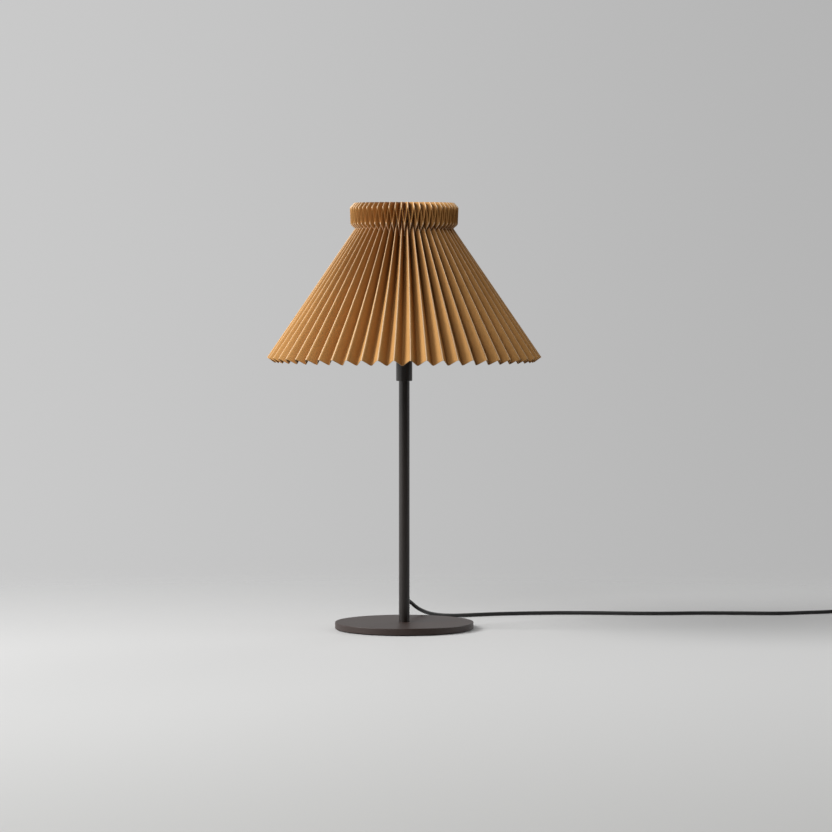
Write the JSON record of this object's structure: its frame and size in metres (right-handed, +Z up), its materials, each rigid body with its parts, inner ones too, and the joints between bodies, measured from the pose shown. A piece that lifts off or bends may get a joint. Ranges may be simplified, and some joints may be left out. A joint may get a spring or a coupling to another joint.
{
  "type": "table lamp",
  "caption": "Table lamp with a pleated conical paper shade and folded collar on a slim steel stem, a round weighted base, a small screw bulb and a cord with switch and plug.",
  "frame": {"origin": "on the surface the lamp stands on, under the middle of the base and stem", "axes": "+Z up along the stem, -Y to the front, +Y to the side where the cord leaves the stem, +X to the viewer's right"},
  "size_m": [0.9593, 0.4649, 0.5539],
  "materials": {
    "kraft_paper": "uncoated brown kraft paper, fine fibre grain",
    "dark_metal": "matt brown-black powder coat",
    "plain_steel": "zinc-plated",
    "foot_pad": "thin foam rubber",
    "black_plastic": "moulded, fine matt grain",
    "ceramic_white": "glazed",
    "brass": "bright",
    "opal": "opal, satin",
    "white_plastic": "moulded",
    "cord_black": "smooth round sheath",
    "core_insulation": "insulated wire",
    "tie_black": "woven hook tape"
  },
  "bodies": {
    "stand": {"base_plate": "dark_metal", "base_pad": "foot_pad", "stem_tube": "dark_metal", "stem_foot": "plain_steel", "stem_screw": "plain_steel", "stem_cup": "dark_metal", "cup_screw": "plain_steel", "threaded_nipple": "plain_steel", "holder_cap": "black_plastic", "holder_skirt": "black_plastic", "holder_insert": "ceramic_white", "holder_shell": "brass", "holder_contact": "brass", "holder_terminals": "brass", "clamp_ring": "black_plastic", "cord_relief": "cord_black", "stem_flex": "cord_black", "flex_cores": "core_insulation", "cord_stretch": "cord_black", "switch_base": "black_plastic", "switch_cover": "black_plastic", "switch_contacts": "brass", "switch_spring": "brass", "switch_screws": "plain_steel", "cord_coil": "cord_black", "cord_tie": "tie_black", "plug_tail": "cord_black", "plug_body": "black_plastic", "plug_pins": "plain_steel"},
    "carrier": {"carrier_hub": "dark_metal", "carrier_arms": "dark_metal", "carrier_ring": "dark_metal"},
    "shade": {"paper_shade": "kraft_paper"},
    "bulb": {"bulb_globe": "opal", "bulb_housing": "white_plastic", "bulb_board": "white_plastic", "bulb_cap": "plain_steel", "bulb_contact": "brass"},
    "rocker": {"switch_rocker": "black_plastic"}
  },
  "joints": [
    {"name": "carrier_turn", "type": "hinge", "parent": "stand", "child": "carrier", "pos_m": [0, 0, 0.38335], "axis": [0, 0, 1], "continuous": true},
    {"name": "shade_lift", "type": "slide", "parent": "carrier", "child": "shade", "axis": [0, 0, 1], "range_m": [0, 0.18]},
    {"name": "bulb_turn", "type": "hinge", "parent": "stand", "child": "bulb", "pos_m": [0, 0, 0.4], "axis": [0, 0, 1], "continuous": true},
    {"name": "switch_rock", "type": "hinge", "parent": "stand", "child": "rocker", "pos_m": [0.672, 0.196, 0.011], "axis": [0, -1, 0], "range_deg": [0, 16]}
  ]
}
